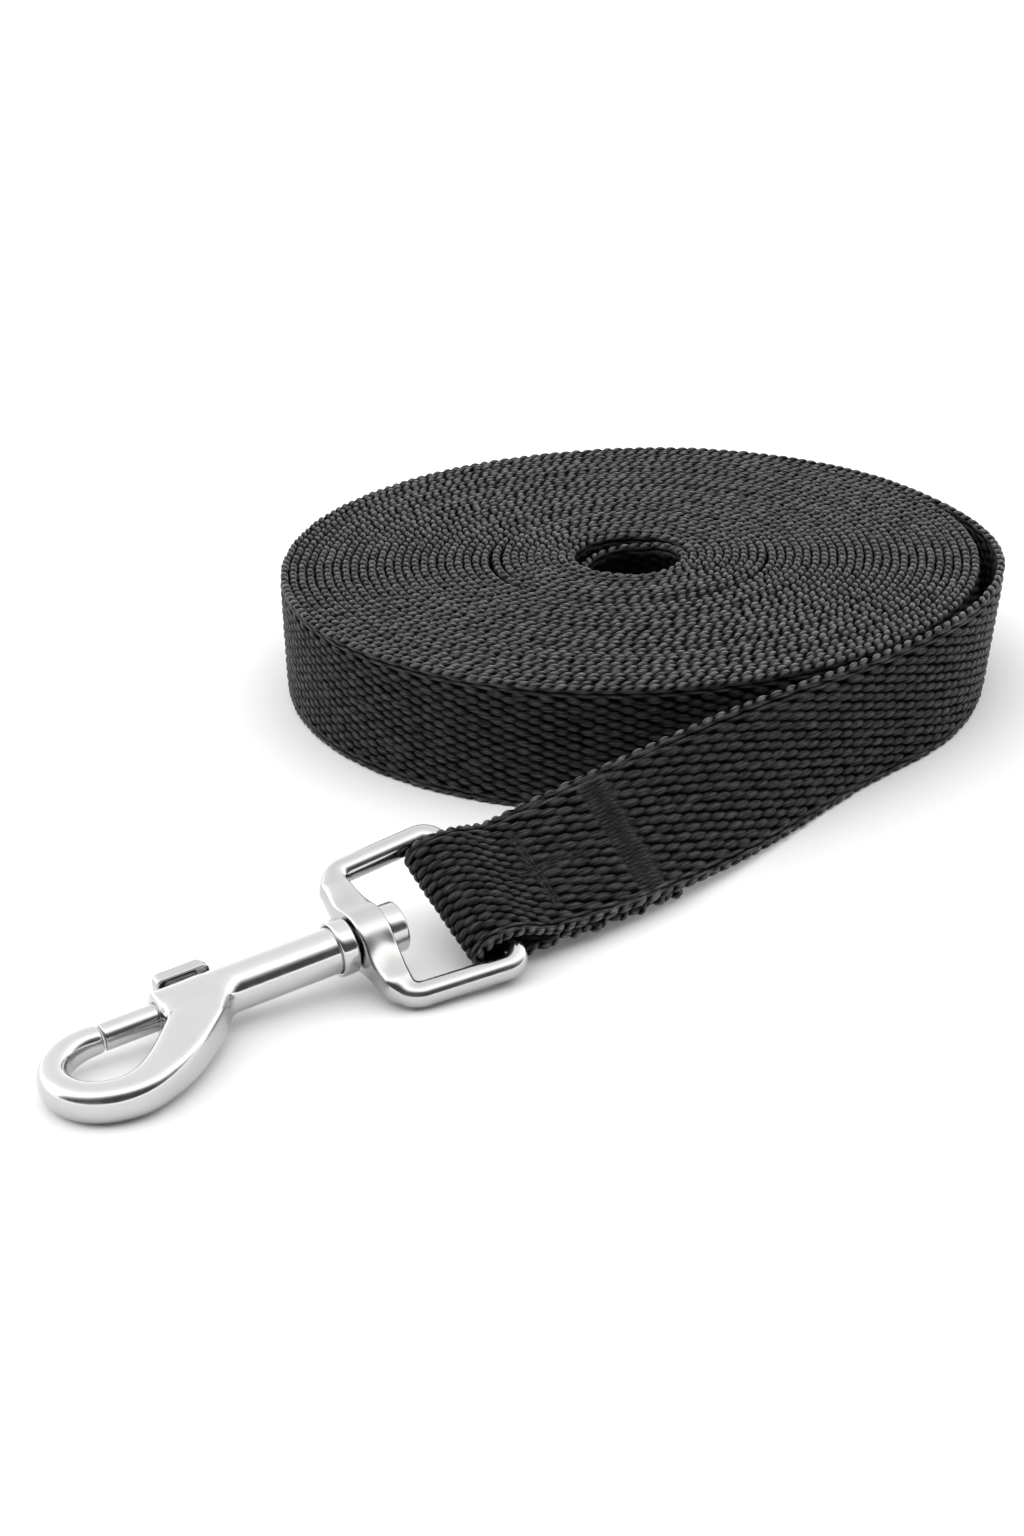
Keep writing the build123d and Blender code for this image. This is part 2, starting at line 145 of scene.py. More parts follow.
# -------- snap
EYE_LENGTH = 20.2
EYE_BAR = 2.1               # radius
EYE_FRONT_HALF = 13.5
EYE_REAR_HALF = 15.0
EYE_CORNER = 3.0
BAND_HALF = 2.7             # the front bar is a band, this far each way along the axis
HUB_RADIUS = 4.9
STUD_BORE = 2.2
BARREL_RADIUS = 3.85
BARREL_START = 3.6
BARREL_END = 36.4
FLANGE_END = 5.6            # the stud's flange inside the barrel, where the spring starts
BORE_RADIUS = 2.26
BOLT_RADIUS = 2.2
BOLT_START = 24.0
BOLT_END = 45.55
TIP_START = 45.8
BEND_CENTRE = np.array([47.7, 8.45])       # in the hook's plane
BEND_RADIUS = 8.45
BEND_SWEEP = math.radians(202)
ARM_END = np.array([27.0, 0.6])
ARM_END_HEADING = math.radians(222)
THUMB = (24.7, 33.8, -5.2, -7.6, 2.6)   # start, end, underside, top, half width
STEM_HALF = (3.2, 1.1)      # the thumb piece's stem, along the snap and across
SLOT = (18.0, 33.2, 1.45)   # start, end, half width
SPRING_CLEAR = 0.3          # between the spring's wire middle and what it pushes on
SPRING_TURNS = 11
SPRING_RADIUS = 1.65
SPRING_WIRE = 0.45
CAST_STEP = 0.24            # the grid that castings are found on
THUMB_STEP = 0.16

rng = np.random.default_rng(11)


# -------- small helpers
def unit(v):
    v = np.asarray(v, float)
    return v / np.linalg.norm(v, axis=-1, keepdims=True)


def blend(a, b, t):
    return a + (b - a) * t


def smooth(t):
    t = np.clip(t, 0, 1)
    return t * t * (3 - 2 * t)


def bump(x, middle, half):
    """1 at the middle, falling smoothly to 0 at half on each side."""
    return smooth(1 - np.abs(x - middle) / half)


def scatter(a, b, salt=0.0):
    """A repeatable number from 0 to 1 for each pair of whole numbers."""
    x = np.sin(a * 12.9898 + b * 78.233 + salt * 37.719) * 43758.5453
    return x - np.floor(x)


def wander(x, salt=0.0):
    """A smooth repeatable wave of x, between about -1 and 1."""
    return (np.sin(x + salt) + 0.6 * np.sin(2.3 * x + 1.7 * salt) + 0.4 * np.sin(4.1 * x + 3.1 * salt)) / 2


class Place:
    """A frame: an origin and three axes, and the way from it into the row frame."""

    def __init__(self, origin, x, y, z):
        self.origin = np.asarray(origin, float)
        self.axes = np.array([unit(x), unit(y), unit(z)])

    def out(self, points):
        return self.origin + np.asarray(points, float) @ self.axes


record = frame["record"]
joints = {j["name"]: j for j in record["behaviour"]["joints"]}
mounts = {m["name"]: m for m in record["mounts"]}
hub = np.array(joints["swivel_spin"]["pos_m"]) / MM
rear_bar = np.array(joints["eye_hinge"]["pos_m"]) / MM
swivel_axis = unit(joints["swivel_spin"]["axis"])
eye_y = -unit(joints["eye_hinge"]["axis"])
hook_z = unit(mounts["hook"]["axis"])
EYE = Place(hub, swivel_axis, eye_y, np.cross(swivel_axis, eye_y))
HOOK = Place(hub, swivel_axis, np.cross(hook_z, swivel_axis), hook_z)
handle_low, handle_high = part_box("handle_loop")
COIL = (np.array(handle_low) + np.array(handle_high)) / 2 / MM * np.array([1, 1, 0])


# -------- meshes
def new_mesh(name, points, faces, material, smooth_faces=True):
    mesh = bpy.data.meshes.new(name)
    mesh.from_pydata((np.asarray(points) * MM).tolist(), [], faces)
    mesh.validate()
    mesh.polygons.foreach_set("use_smooth", [smooth_faces] * len(mesh.polygons))
    mesh.materials.append(material)
    mesh.update()
    piece = bpy.data.objects.new(name, mesh)
    bpy.context.collection.objects.link(piece)
    return piece


def finish_piece(piece, body, slot, *nodes):
    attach(piece, body)
    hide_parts(*nodes)
    return piece


def tube_faces(stations, around, first=0):
    """Quads between rings of points, with a cap at each end."""
    i = np.arange(stations - 1)[:, None] * around
    j = np.arange(around)[None, :]
    k = (j + 1) % around
    quads = np.stack([i + j, i + k, i + around + k, i + around + j], -1).reshape(-1, 4) + first
    last = first + (stations - 1) * around
    caps = [list(range(first + around - 1, first - 1, -1)), list(range(last, last + around))]
    return quads.tolist() + caps


def tube(points, radius, sides=8):
    """Rings of points along a line, for thread and wire."""
    points = np.asarray(points, float)
    along = unit(np.gradient(points, axis=0))
    side = np.cross(along[0], [0.3, 0.5, 0.8])
    rings = []
    for spot, direction in zip(points, along):
        side = unit(side - direction * (side @ direction))
        up = np.cross(direction, side)
        turn = 2 * math.pi * np.arange(sides) / sides
        rings.append(spot + radius * (np.cos(turn)[:, None] * side + np.sin(turn)[:, None] * up))
    return np.concatenate(rings)


def soften(profile, radius, steps=6):
    """Rounds the inner corners of an open outline."""
    profile = np.asarray(profile, float)
    out = [profile[0]]
    for before, corner, after in zip(profile[:-2], profile[1:-1], profile[2:]):
        reach_in = min(radius, np.linalg.norm(corner - before) * 0.49)
        reach_out = min(radius, np.linalg.norm(after - corner) * 0.49)
        start = corner + unit(before - corner) * reach_in
        end = corner + unit(after - corner) * reach_out
        for t in np.linspace(0, 1, steps):
            out.append((1 - t) ** 2 * start + 2 * t * (1 - t) * corner + t ** 2 * end)
    out.append(profile[-1])
    return np.array(out)


def lathe(name, profile, place, material, around=72):
    """A closed turned piece: the outline of (along the axis, radius) points is closed on itself."""
    turn = 2 * math.pi * np.arange(around) / around
    rings = [np.stack([np.full(around, x), r * np.cos(turn), r * np.sin(turn)], -1) for x, r in profile]
    count = len(profile)
    i = np.arange(count)[:, None] * around
    after = (np.arange(count)[:, None] + 1) % count * around
    j = np.arange(around)[None, :]
    k = (j + 1) % around
    quads = np.stack([i + j, after + j, after + k, i + k], -1).reshape(-1, 4)
    return new_mesh(name, place.out(np.concatenate(rings)), quads.tolist(), material)


# -------- cast metal: a field and its skin
def joined(a, b, reach):
    """The nearer of two shapes, with a fillet where they meet."""
    h = np.maximum(reach - np.abs(a - b), 0) / reach
    return np.minimum(a, b) - h * h * reach / 4


def cut(a, b, reach):
    """Shape a without shape b, with a slightly eased edge."""
    return -joined(-a, b, reach)


def prism(section, along, half, round_edge):
    """A flat shape pulled to half each way, its edges rounded."""
    d = np.stack([section, np.abs(along) - half], -1) + round_edge
    return np.linalg.norm(np.maximum(d, 0), axis=-1) + np.minimum(d.max(-1), 0) - round_edge


def box_field(a, b, half_a, half_b, corner):
    d = np.stack([np.abs(a) - half_a, np.abs(b) - half_b], -1) + corner
    return np.linalg.norm(np.maximum(d, 0), axis=-1) + np.minimum(d.max(-1), 0) - corner


def slope(field, points, step=0.02):
    parts = []
    for axis in np.eye(3):
        parts.append(field(points + axis * step) - field(points - axis * step))
    return np.stack(parts, -1) / (2 * step)


def settle(field, points, step, times):
    """Moves points onto the surface where the field is zero."""
    for _ in range(times):
        steep = slope(field, points)
        size = np.maximum((steep ** 2).sum(-1, keepdims=True), 0.05)
        points = points - np.clip(field(points)[:, None] * steep / size, -step, step)
    return points


def skin(name, field, low, high, step, place, material, rounds=3):
    """The closed surface where the field is zero, found on a grid and then moved exactly onto it."""
    low = np.array(low, float)
    counts = np.ceil((np.array(high) - low) / step).astype(int) + 1
    axes = [low[i] + step * np.arange(counts[i]) for i in range(3)]
    grid = np.stack(np.meshgrid(*axes, indexing="ij"), -1).reshape(-1, 3)
    inside = (field(grid) < 0).reshape(counts)
    corners = sum(inside[i:counts[0] - 1 + i, j:counts[1] - 1 + j, k:counts[2] - 1 + k].astype(int)
                  for i in (0, 1) for j in (0, 1) for k in (0, 1))
    mixed = (corners > 0) & (corners < 8)
    number = np.full(mixed.shape, -1)
    number[mixed] = np.arange(mixed.sum())
    points = low + (np.argwhere(mixed) + 0.5) * step
    quads = []
    for axis in range(3):
        other = [a for a in range(3) if a != axis]
        ahead = np.moveaxis(inside, axis, 0)
        change = ahead[1:].astype(int) - ahead[:-1].astype(int)
        at = np.argwhere(change[:, 1:-1, 1:-1])
        sign = change[at[:, 0], at[:, 1] + 1, at[:, 2] + 1]
        cells = np.moveaxis(number, axis, 0)
        ring = [cells[at[:, 0], at[:, 1] + a, at[:, 2] + b] for a, b in ((0, 0), (1, 0), (1, 1), (0, 1))]
        ring = np.stack(ring, -1)
        flip = (sign > 0) == (other == [0, 2])
        ring[~flip] = ring[~flip][:, ::-1]
        quads.append(ring)
    quads = np.concatenate(quads)
    edges = np.concatenate([quads[:, [i, (i + 1) % 4]] for i in range(4)])
    degree = np.bincount(edges.ravel(), minlength=len(points))[:, None]
    for _ in range(rounds):
        points = settle(field, points, step, 2)
        total = np.zeros_like(points)
        np.add.at(total, edges[:, 0], points[edges[:, 1]])
        np.add.at(total, edges[:, 1], points[edges[:, 0]])
        points = blend(points, total / degree, 0.6)
    points = settle(field, points, step, 3)
    return new_mesh(name, place.out(points), quads.tolist(), material)


# -------- materials
YARN_SHINE = 0.22
EDGE_PAINTED_LIGHT = 1.0             # painted light: crowns on the edges are painted lighter than those on the faces, as if they catch more light
FACE_PAINTED_LIGHT = 0.54
HANDLE_PAINTED_LIGHT = 0.2           # painted shade: those inside the coil's hole are painted darkest, as if they catch the least light
STREAK_SCALE = (0.45, 3.4, 1.0)     # filaments are long along the lumps and fine across them
# how tightly the painted highlight gathers on the crowns
CREST_SHARPNESS = 1.35
CLOUD_DARKEST = 0.93        # of the plate's own brightness


def node_maker(nodes, links):
    """A function that adds a node, its inputs wired or set."""
    def make(kind, inputs=(), **settings):
        node = nodes.new(kind)
        for key, value in settings.items():
            setattr(node, key, value)
        for key, value in dict(inputs).items():
            if isinstance(value, bpy.types.NodeSocket):
                links.new(value, node.inputs[key])
            else:
                node.inputs[key].default_value = value
        return node

    return make


def new_material(name):
    """A material, its shader, what adds nodes to it, and its links."""
    material = bpy.data.materials.new(name)
    material.use_nodes = True
    nodes, links = material.node_tree.nodes, material.node_tree.links
    shader = next(n for n in nodes if n.type == "BSDF_PRINCIPLED")
    return material, shader, node_maker(nodes, links), links


def woven_material(name, dark, light, roughness, streak_scale):
    """Black yarn: fine filaments along the lumps, with painted highlights on their crowns and painted shade between
    them.
    """
    material, shader, make, links = new_material(name)
    where = make("ShaderNodeAttribute", attribute_name="strap").outputs["Vector"]
    slanted = make("ShaderNodeMapping", {"Vector": where, "Rotation": (0, 0, -LUMP_SLANT), "Scale": STREAK_SCALE})
    streaks = make("ShaderNodeTexNoise", {"Vector": slanted.outputs[0], "Scale": streak_scale, "Detail": 3.0})
    patches = make("ShaderNodeTexNoise", {"Vector": where, "Scale": 0.35, "Detail": 2.0})
    # painted light: dark in the grooves and light on the crowns of the webbing; a random tone on the thread
    painted_light_and_tone = make("ShaderNodeAttribute", attribute_name="painted_light_and_tone")
    lift = make("ShaderNodeMapRange", {"Value": painted_light_and_tone.outputs["Fac"], "From Min": 0.04, "From Max": 1.0})
    grain = make("ShaderNodeMapRange", {"Value": streaks.outputs["Fac"], "From Min": 0.38, "From Max": 0.62,
                                        "To Min": 0.15, "To Max": 1.05})
    crest = make("ShaderNodeMath", {0: lift.outputs[0], 1: CREST_SHARPNESS}, operation="POWER")
    worn = make("ShaderNodeMath", {0: patches.outputs["Fac"], 1: 0.45, 2: grain.outputs[0]},
                operation="MULTIPLY_ADD")
    shade = make("ShaderNodeMath", {0: crest.outputs[0], 1: worn.outputs[0]}, operation="MULTIPLY")
    # colour goes from the painted shade of the grooves to the painted highlight of the crowns, times wear and
    # filament grain
    colour = make("ShaderNodeMix", {"Factor": shade.outputs[0], 6: (*dark, 1), 7: (*light, 1)}, data_type="RGBA")
    links.new(colour.outputs[2], shader.inputs["Base Color"])
    # the specular level follows the same painted shade, so the grooves shine less
    shine = make("ShaderNodeMath", {0: shade.outputs[0], 1: YARN_SHINE}, operation="MULTIPLY")
    links.new(shine.outputs[0], shader.inputs["Specular IOR Level"])
    rough = make("ShaderNodeMapRange", {"Value": streaks.outputs["Fac"], "To Min": roughness - 0.08,
                                        "To Max": roughness + 0.12})
    links.new(rough.outputs[0], shader.inputs["Roughness"])
    relief = make("ShaderNodeBump", {"Height": streaks.outputs["Fac"], "Strength": 0.8, "Distance": 0.00015})
    links.new(relief.outputs[0], shader.inputs["Normal"])
    return material


def metal_material(name, colour, roughness, cloud, wave):
    """Bright plate on a casting: softly clouded polish with a faint unevenness."""
    material, shader, make, links = new_material(name)
    where = make("ShaderNodeTexCoord").outputs["Object"]
    clouds = make("ShaderNodeTexNoise", {"Vector": where, "Scale": 260.0, "Detail": 4.0})
    fine = make("ShaderNodeTexNoise", {"Vector": where, "Scale": 2400.0, "Detail": 3.0})
    rough = make("ShaderNodeMapRange", {"Value": clouds.outputs["Fac"], "From Min": 0.35, "From Max": 0.7,
                                        "To Min": roughness, "To Max": roughness + cloud})
    links.new(rough.outputs[0], shader.inputs["Roughness"])
    tint = make("ShaderNodeMix", {"Factor": clouds.outputs["Fac"], 6: (*[c * CLOUD_DARKEST for c in colour], 1),
                                  7: (*colour, 1)}, data_type="RGBA")
    links.new(tint.outputs[2], shader.inputs["Base Color"])
    mixed = make("ShaderNodeMath", {0: fine.outputs["Fac"], 1: 0.12, 2: clouds.outputs["Fac"]},
                 operation="MULTIPLY_ADD")
    relief = make("ShaderNodeBump", {"Height": mixed.outputs[0], "Strength": wave, "Distance": 0.0004})
    links.new(relief.outputs[0], shader.inputs["Normal"])
    shader.inputs["Metallic"].default_value = 1.0
    return material


webbing_look = woven_material("webbing_yarn", (0.0018, 0.0018, 0.0019), (0.110, 0.110, 0.1105), 0.38, 1.0)
thread_look = woven_material("sewing_thread", (0.002, 0.002, 0.0021), (0.050, 0.050, 0.0505), 0.42, 1.6)
plate_look = metal_material("bright_plate", (0.56, 0.56, 0.555), 0.12, 0.10, 0.05)
eye_look = metal_material("satin_plate", (0.50, 0.50, 0.495), 0.12, 0.10, 0.03)
bolt_look = metal_material("bolt_plate", (0.54, 0.54, 0.535), 0.12, 0.10, 0.04)
spring_look = metal_material("spring_wire", (0.55, 0.55, 0.56), 0.22, 0.15, 0.08)


# -------- the line that the webbing follows
def run_point(t, leave, leave_heading, start_heading):
    """Plan position and heading of the free run, a cubic from the rear bar (0) to the coil (1)."""
    t = np.asarray(t, float)[:, None]
    start = rear_bar[:2]
    chord = np.linalg.norm(leave - start)
    d0 = chord * np.array([math.cos(start_heading), math.sin(start_heading)])
    d1 = chord * np.array([math.cos(leave_heading), math.sin(leave_heading)])
    spot = ((2 * t**3 - 3 * t**2 + 1) * start + (t**3 - 2 * t**2 + t) * d0
            + (3 * t**2 - 2 * t**3) * leave + (t**3 - t**2) * d1)
    drift = ((6 * t**2 - 6 * t) * start + (3 * t**2 - 4 * t + 1) * d0
             + (6 * t - 6 * t**2) * leave + (3 * t**2 - 2 * t) * d1)
    return spot, np.arctan2(drift[:, 1], drift[:, 0])


leave_angle = math.radians(LEAD_LEAVE_ANGLE)
leave_radius = LEAD_LEAVE_RADIUS - WEB_THICK / 2
leave_point = COIL[:2] + leave_radius * np.array([math.cos(leave_angle), math.sin(leave_angle)])
RUN_LENGTH = float(np.linalg.norm(leave_point - rear_bar[:2]))


def spine(distance):
    """Frame of the free run at distances from the rear bar: middle, across, outward."""
    distance = np.asarray(distance, float)
    heading_out = math.atan2(-swivel_axis[1], -swivel_axis[0])
    spot, heading = run_point(distance / RUN_LENGTH, leave_point, leave_angle + math.pi / 2, heading_out)
    upright = np.clip(distance / UPRIGHT_AT, 0, 1)
    z = blend(rear_bar[2], WEB_WIDTH / 2, 1 - (1 - upright) ** RISE_SHAPE)
    twist = (np.maximum(distance, 0) / UPRIGHT_AT) ** TWIST_SHAPE
    eased = np.clip(twist - TWIST_EASE, 0, 2 * (1 - TWIST_EASE))
    twist = np.minimum(twist, TWIST_EASE) + eased - eased ** 2 / (4 * (1 - TWIST_EASE))
    tilt = np.radians(blend(EYE_TILT, 90, twist))[:, None]
    side = np.stack([-np.sin(heading), np.cos(heading), np.zeros_like(heading)], -1)
    up = np.array([0, 0, 1.0])
    across = side * np.cos(tilt) + up * np.sin(tilt)
    outward = up * np.cos(tilt) - side * np.sin(tilt)
    return np.column_stack([spot, z]), across, outward


def layer_offset(distance):
    """From the spine to the middle of either layer of the fold."""
    closed = (WEB_THICK + LAYER_GAP) / 2
    return blend(FOLD_RADIUS, closed, smooth(distance / LAYERS_MEET))[:, None]


def upright_stations(angle, radius, lean, lift):
    """Frame of webbing that stands round the coil, at angles in radians."""
    out = np.stack([np.cos(angle), np.sin(angle), np.zeros_like(angle)], -1)
    up = np.array([0, 0, 1.0])
    across = up * np.cos(lean)[:, None] + out * np.sin(lean)[:, None]
    outward = out * np.cos(lean)[:, None] - up * np.sin(lean)[:, None]
    middle = COIL + out * radius[:, None] + up * (WEB_WIDTH / 2 + lift)[:, None]
    return middle, across, outward


def free_end():
    """The webbing from the tail's cut end round the rear bar to the coil, as many close stations."""
    fold_at = -FOLD_FORWARD
    tail = np.arange(TAIL_AT, fold_at, -LINE_STEP)
    middle, across, outward = spine(tail)
    parts = [(middle - outward * layer_offset(tail), across, -outward)]
    turn = np.linspace(math.pi, 0, 24)[:, None]
    centre = rear_bar + swivel_axis * FOLD_FORWARD
    out = EYE.axes[2] * np.cos(turn) + swivel_axis * np.sin(turn)
    parts.append((centre + out * FOLD_RADIUS, np.tile(-eye_y, (len(turn), 1)), out))
    upper = np.arange(fold_at + LINE_STEP, RUN_LENGTH, LINE_STEP)
    middle, across, outward = spine(upper)
    parts.append((middle + outward * layer_offset(upper), across, outward))
    angle = np.arange(LEAD_LEAVE_ANGLE, LEAD_START_ANGLE, 0.5)
    t = (LEAD_START_ANGLE - angle) / (LEAD_START_ANGLE - LEAD_LEAVE_ANGLE)
    start_radius = COIL_RADIUS - WEB_THICK / 2
    radius = blend(start_radius, LEAD_LEAVE_RADIUS, smooth(2.2 * t))
    radius += np.sin(math.pi * t) * (STAND_OFF_RADIUS - LEAD_LEAVE_RADIUS)
    lean = LEAN * bump(angle, LEAN_AT, LEAN_SPREAD)
    parts.append(upright_stations(np.radians(angle), radius, lean, 0 * angle))
    return parts


def turn_radius(wound):
    """To the middle of the webbing, at degrees wound inwards from where the last turn lets go."""
    plain = COIL_RADIUS - WEB_THICK / 2 - TURN_PITCH * wound / 360
    angle = np.radians(LEAD_START_ANGLE + wound)
    inner_group = smooth(INNER_GROUP_RADIUS - plain) * smooth((plain - 12) / 14)
    facing = np.clip(0.6 - 0.8 * np.cos(angle - GAP_FACES_AWAY), 0, 1)
    loose = -INNER_GROUP_GAP * inner_group * facing
    ripple = 0.10 * wander(3 * angle, 0.11 * np.floor(wound / 360)) * smooth((plain - 20) / 10)
    return plain + loose + ripple


def coil_line():
    """The wound webbing from the last full turn to its inner end."""
    last = 360 * (COIL_RADIUS - HOLE_RADIUS - TURN_PITCH) / TURN_PITCH
    wound = [0.0]
    while wound[-1] < last:
        radius = COIL_RADIUS - TURN_PITCH * wound[-1] / 360
        wound.append(wound[-1] + math.degrees(LINE_STEP / radius))
    wound = np.array(wound)
    radius = turn_radius(wound)
    turn = wound / 360
    angle = np.radians(LEAD_START_ANGLE + wound)
    lift = 0.16 * wander(2 * angle + 1.3 * turn, 0.7) + 0.12 * wander(0.9 * turn, 2.0)
    lift = np.minimum(lift, COIL_TOP) - COIL_SINKS
    lift -= MIDDLE_SINKS * smooth((wound / last - 0.93) / 0.07)
    lift = lift * smooth(wound / 40)
    inner_end = smooth((wound - last + 300) / 240)
    lift -= LAST_END_SINKS * inner_end
    radius -= LAST_END_DRAWN_IN * inner_end
    return upright_stations(angle, radius, 0 * angle, lift), wound


def measured(parts):
    """Stations joined into one line, with the distance along it."""
    middle, across, outward = (np.concatenate([p[i] for p in parts]) for i in range(3))
    steps = np.linalg.norm(np.diff(middle, axis=0), axis=1)
    return np.concatenate([[0], np.cumsum(steps)]), middle, across, outward


def stations(line, start, end, step):
    """Evenly spaced stations of the line between two distances."""
    s, middle, across, outward = line
    count = max(2, int(round((end - start) / step)) + 1)
    at = np.linspace(start, end, count)
    spot = np.stack([np.interp(at, s, middle[:, i]) for i in range(3)], -1)
    side = unit(np.stack([np.interp(at, s, across[:, i]) for i in range(3)], -1))
    face = np.stack([np.interp(at, s, outward[:, i]) for i in range(3)], -1)
    face = unit(face - side * (face * side).sum(-1, keepdims=True))
    return at, spot, side, face


# -------- the weave
def section(around):
    """Core outline at distances round it: across, outward, and the outline's own normal."""
    c = np.asarray(around, float)
    t = CORE_HALF_THICK
    a = -c
    n = np.full_like(c, -t)
    normal = np.zeros((len(c), 2))
    normal[:, 1] = -1
    lower = (c > FLAT_HALF) & (c <= FLAT_HALF + EDGE_ARC)
    front = (c > FLAT_HALF + EDGE_ARC) & (c <= 3 * FLAT_HALF + EDGE_ARC)
    upper = (c > 3 * FLAT_HALF + EDGE_ARC) & (c <= 3 * FLAT_HALF + 2 * EDGE_ARC)
    rest = c > 3 * FLAT_HALF + 2 * EDGE_ARC
    for mask, first, centre, begin in ((lower, FLAT_HALF, -FLAT_HALF, -90),
                                       (upper, 3 * FLAT_HALF + EDGE_ARC, FLAT_HALF, 90)):
        turn = np.radians(begin) - (c[mask] - first) / t
        direction = np.stack([np.cos(turn), np.sin(turn)], -1)
        a[mask] = centre + t * direction[:, 0]
        n[mask] = t * direction[:, 1]
        normal[mask] = direction
    a[front] = c[front] - 2 * FLAT_HALF - EDGE_ARC
    n[front] = t
    normal[front] = (0, 1)
    a[rest] = FLAT_HALF - (c[rest] - 3 * FLAT_HALF - 2 * EDGE_ARC)
    return a, n, normal


def lumps(s, c, row, pitch, shift, slant, long_half, wide_half, mark, uneven=1.0):
    """Height of the lumps of one row near each point; every lump differs a little."""
    height = np.zeros(s.shape)
    first = np.floor(s / pitch - shift)
    for lump in (first, first + 1):
        ds = s - (lump + shift + 0.07 * uneven * (scatter(mark, lump) - 0.5)) * pitch
        dc = c - LOWER_EDGE - (row + 0.22 * uneven * (scatter(mark, lump, 1) - 0.5)) * LUMP_SPACING
        p = ds * math.cos(slant) + dc * math.sin(slant)
        q = -ds * math.sin(slant) + dc * math.cos(slant)
        size = 1 + 0.14 * uneven * (scatter(mark, lump, 2) - 0.5)
        taper = np.clip(1 - np.abs(p / (long_half * size)) ** POINTED, 0, 1)
        e = taper ** 1.5 - (q / (wide_half * size)) ** 2
        tall = np.clip(e, 0, 1) ** 0.5 * (1 - 0.16 * uneven * scatter(mark, lump, 3))
        height = np.maximum(height, tall * (1 + 0.12 * p / long_half))
    return height


def weave(s, c):
    """Height of the woven surface, 0 in the grooves to 1 on the crowns, over (stations, around)."""
    drawn = s + COIL_TIGHTENS * np.maximum(s - S_COIL, 0) - FOLD_TIGHTENS * np.maximum(S_BAR + 12 - s, 0)
    s, c = np.broadcast_arrays(np.asarray(drawn, float)[:, None], np.asarray(c, float)[None, :])
    height = np.zeros(s.shape)
    row_near = np.round((c - LOWER_EDGE) / LUMP_SPACING)
    for row_step in (-2, -1, 0, 1, 2):
        row = row_near + row_step
        mark = np.mod(row, LUMP_ROWS)
        from_edge = np.abs(np.mod(row + LUMP_ROWS // 4, LUMP_ROWS // 2) - LUMP_ROWS // 4)
        shift = 0.5 * np.mod(row, 2) + 0.05 * (scatter(mark, 3.0) - 0.5)
        face = lumps(s, c, row, LUMP_PITCH, shift, LUMP_SLANT, LUMP_LONG, LUMP_WIDE, mark)
        strand = lumps(s, c, row, LUMP_PITCH, shift * 1.3, 0.4 * LUMP_SLANT, STRAND_LONG, STRAND_WIDE, mark)
        rib = lumps(s, c, row, LUMP_PITCH / 2, 0.0, RIB_SLANT, RIB_LONG, RIB_WIDE, mark, 1.3)
        kind = np.where(from_edge >= EDGE_ROWS, face, STRAND_HEIGHT * strand)
        height = np.maximum(height, np.where(from_edge == 0, rib, kind))
    return height


def around_points(face_step, edge_step, faces=("front", "back"), far_step=3.0):
    """Where the section is sampled: closely on the named faces and both edges."""
    half = EDGE_ZONE / 2
    marks = []
    spans = (("back", 0, LOWER_EDGE - half),
             ("edge", LOWER_EDGE - half, LOWER_EDGE + half),
             ("front", LOWER_EDGE + half, UPPER_EDGE - half),
             ("edge", UPPER_EDGE - half, UPPER_EDGE + half),
             ("back", UPPER_EDGE + half, PERIMETER))
    for kind, start, end in spans:
        step = edge_step if kind == "edge" else face_step if kind in faces else far_step
        count = max(1, int(round((end - start) / step)))
        marks.append(start + (end - start) * np.arange(count) / count)
    return np.concatenate(marks)


def strap(name, line, start, end, step, around, press=None, width=None, drift=None, face_painted_light=FACE_PAINTED_LIGHT):
    """One length of webbing as a closed mesh with its weave in the surface."""
    at, middle, side, face = stations(line, start, end, step)
    a, n, normal = section(around)
    height = weave(at, around)
    depth = height * LUMP_HEIGHT
    if press is not None:
        flat, sunk = press(at[:, None], a[None, :], n[None, :])
        depth = blend(depth, PRESSED_HEIGHT * LUMP_HEIGHT, flat) - sunk
        # painted light: where thread presses the weave flat, its painted shade is set to one even level
        height = blend(height, PRESSED_SHADE, flat)
    if width is not None:
        a = a[None, :] * width(at)[:, None]
    else:
        a = np.broadcast_to(a, height.shape)
    if drift is not None:
        a = a + drift(at[:, None], a)
    across = a + depth * normal[None, :, 0]
    sway = EDGE_SWAY * smooth((np.abs(a) - 9) / 3.5) * wander(0.55 * at, 1.7)[:, None]
    outward = n[None, :] + depth * normal[None, :, 1] + sway
    points = middle[:, None] + across[..., None] * side[:, None] + outward[..., None] * face[:, None]
    points[..., 2] = np.maximum(points[..., 2], 0)
    piece = new_mesh(name, points.reshape(-1, 3), tube_faces(len(at), len(around)), webbing_look)
    # painted light: the weave's height, lighter on the edges and darker on the faces, is kept as painted highlight
    # and shade
    on_edge = np.minimum(np.abs(around - LOWER_EDGE), np.abs(around - UPPER_EDGE))
    painted_light_and_tone = height * blend(EDGE_PAINTED_LIGHT, face_painted_light, smooth((on_edge - 1.7) / 0.8))
    store(piece, np.stack([*np.broadcast_arrays(at[:, None], around[None, :]), 0 * painted_light_and_tone], -1), painted_light_and_tone)
    return piece


def store(piece, where, height):
    """Keeps the place along and round the strap, and the painted light (from the height, on the webbing) or random
    tone (on the thread), for the material.
    """
    attribute = piece.data.attributes.new("strap", "FLOAT_VECTOR", "POINT")
    attribute.data.foreach_set("vector", where.ravel())
    attribute = piece.data.attributes.new("painted_light_and_tone", "FLOAT", "POINT")
    attribute.data.foreach_set("value", height.ravel())


